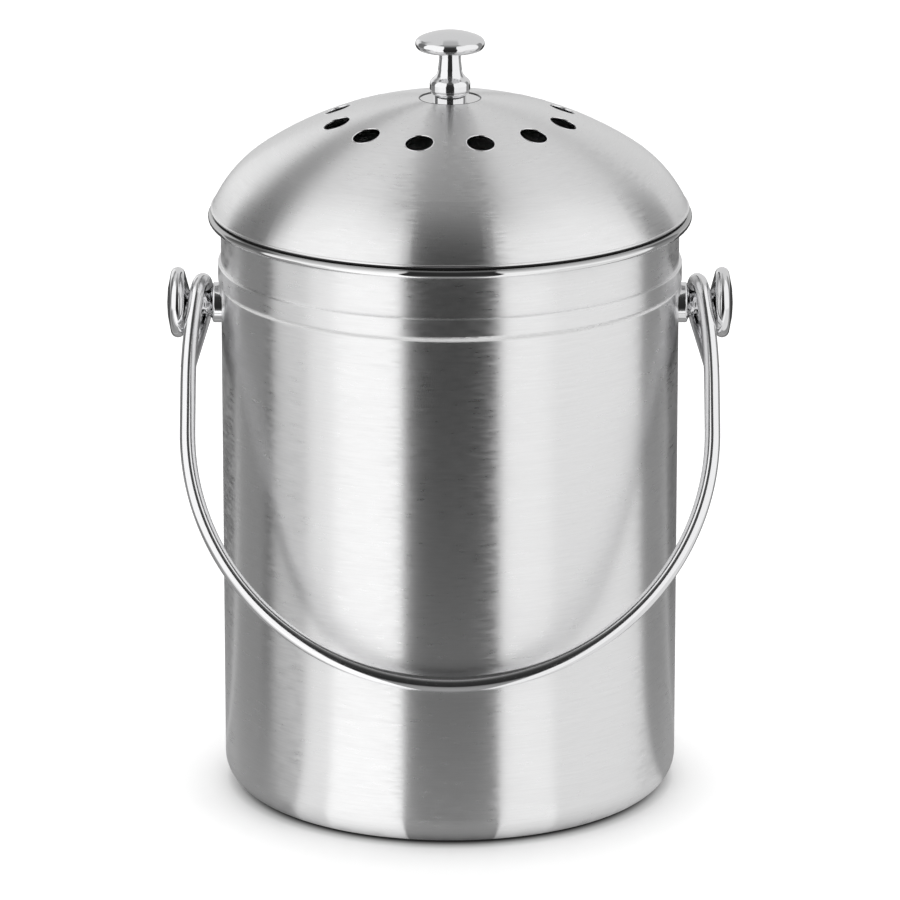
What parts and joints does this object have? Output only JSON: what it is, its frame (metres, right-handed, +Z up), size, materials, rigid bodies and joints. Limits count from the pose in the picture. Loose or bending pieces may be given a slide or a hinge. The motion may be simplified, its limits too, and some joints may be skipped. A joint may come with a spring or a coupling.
{
  "type": "compost caddy",
  "caption": "Steel countertop compost caddy: rimmed round pail, swinging wire bail on side posts, and a vented domed lid with a centre knob and a filter.",
  "frame": {"origin": "middle of the base, on the surface that the pail stands on", "axes": "+Z up along the pail's axis, +X through the right side post, -Y is the front where the bail rests"},
  "size_m": [0.2136, 0.1834, 0.2926],
  "materials": {
    "pail_steel": "brushed round the pail, polished at the rim and band",
    "lid_steel": "brushed round the dome, polished pad and hem",
    "collar_steel": "dull mill finish",
    "turned_chrome": "mirror polished",
    "bail_chrome": "mirror polished",
    "screw_steel": "zinc plated",
    "seal_rubber": "matt black",
    "carbon": "black carbon felt",
    "felt": "off-white needled felt"
  },
  "bodies": {
    "pail": {"pail_shell": "pail_steel", "left_post": "turned_chrome", "right_post": "turned_chrome", "left_post_screw": "screw_steel", "right_post_screw": "screw_steel", "left_post_washer": "screw_steel", "right_post_washer": "screw_steel"},
    "bail": {"bail": "bail_chrome"},
    "lid": {"lid_dome": "lid_steel", "lid_collar": "collar_steel", "lid_seal": "seal_rubber", "lid_knob": "turned_chrome", "lid_knob_screw": "screw_steel", "lid_knob_washer": "screw_steel"},
    "filter": {"filter_carbon": "carbon", "filter_felt": "felt"}
  },
  "joints": [
    {"name": "bail_swing", "type": "hinge", "parent": "pail", "child": "bail", "pos_m": [0, 0, 0.18785], "axis": [-1, 0, 0], "range_deg": [0, 287.5]},
    {"name": "lid_lift", "type": "slide", "parent": "pail", "child": "lid", "axis": [0, 0, 1], "range_m": [0, 0.14]},
    {"name": "filter_drop", "type": "slide", "parent": "lid", "child": "filter", "axis": [0, 0, -1], "range_m": [0, 0.018]}
  ]
}
